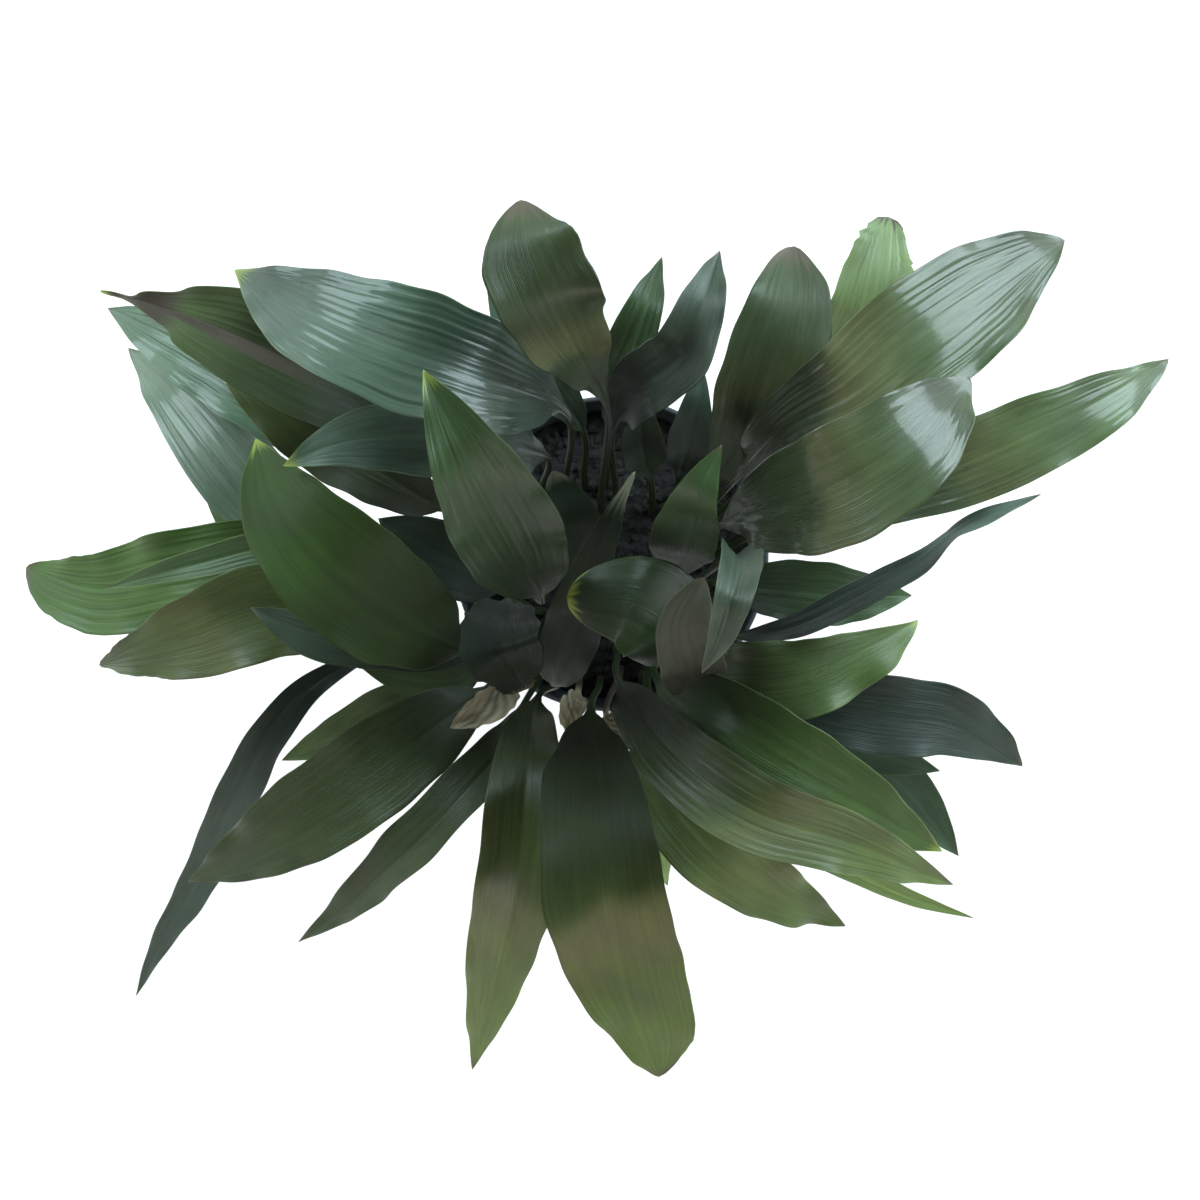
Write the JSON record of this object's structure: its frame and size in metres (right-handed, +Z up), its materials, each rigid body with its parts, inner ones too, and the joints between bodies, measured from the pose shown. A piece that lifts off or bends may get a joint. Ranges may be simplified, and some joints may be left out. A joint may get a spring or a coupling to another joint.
{
  "type": "potted cast iron plant",
  "caption": "Cast iron plant with long arching leathery leaves on upright stalks, growing from compost in a plain round tapered pot.",
  "frame": {"origin": "centre of the pot's flat underside, on the floor plane", "axes": "+Z up from the underside of the pot to the leaves, +X along the longer spread of the leaves, +Y towards the side where the tallest leaves lean, right-handed"},
  "size_m": [0.995, 0.73, 0.7406],
  "materials": {
    "pot": "matt blue-grey plastic",
    "compost": "dark crumbly bark compost",
    "leaf_green": "glossy leathery green",
    "leaf_deep": "glossy leathery deep green",
    "leaf_light": "satin leathery light green",
    "leaf_pale": "satin pale striped green",
    "dry_sheath": "papery dry tan",
    "old_stalk": "dull dry brown"
  },
  "bodies": {
    "root": {"dry_sheath_1": "dry_sheath", "dry_sheath_2": "dry_sheath", "dry_sheath_3": "dry_sheath", "leaf_c_1": "leaf_light", "leaf_c_2": "leaf_light", "leaf_c_3": "leaf_green", "leaf_c_4": "leaf_green", "leaf_c_5": "leaf_deep", "leaf_c_6": "leaf_deep", "leaf_c_7": "leaf_green", "leaf_e_1": "leaf_light", "leaf_e_2": "leaf_green", "leaf_e_3": "leaf_green", "leaf_n_1": "leaf_green", "leaf_n_2": "leaf_light", "leaf_n_3": "leaf_green", "leaf_n_4": "leaf_deep", "leaf_n_5": "leaf_deep", "leaf_n_6": "leaf_deep", "leaf_ne_1": "leaf_green", "leaf_ne_2": "leaf_green", "leaf_ne_3": "leaf_green", "leaf_ne_4": "leaf_pale", "leaf_ne_5": "leaf_green", "leaf_nw_1": "leaf_green", "leaf_nw_2": "leaf_green", "leaf_nw_3": "leaf_green", "leaf_nw_4": "leaf_green", "leaf_nw_5": "leaf_green", "leaf_nw_6": "leaf_green", "leaf_nw_7": "leaf_green", "leaf_s_1": "leaf_light", "leaf_s_2": "leaf_light", "leaf_s_3": "leaf_light", "leaf_s_4": "leaf_deep", "leaf_se_1": "leaf_light", "leaf_se_2": "leaf_light", "leaf_se_3": "leaf_green", "leaf_se_4": "leaf_light", "leaf_se_5": "leaf_deep", "leaf_se_6": "leaf_deep", "leaf_se_7": "leaf_deep", "leaf_sw_1": "leaf_deep", "leaf_sw_2": "leaf_light", "leaf_sw_3": "leaf_green", "leaf_sw_4": "leaf_green", "leaf_sw_5": "leaf_light", "leaf_w_1": "leaf_light", "leaf_w_2": "leaf_light", "leaf_w_3": "leaf_light", "leaf_w_4": "leaf_green", "leaf_w_5": "leaf_green", "leaf_w_6": "leaf_deep", "leaf_w_7": "leaf_deep", "old_stalk_1": "old_stalk", "old_stalk_2": "old_stalk", "pot": "pot", "soil": "compost"}
  },
  "joints": []
}
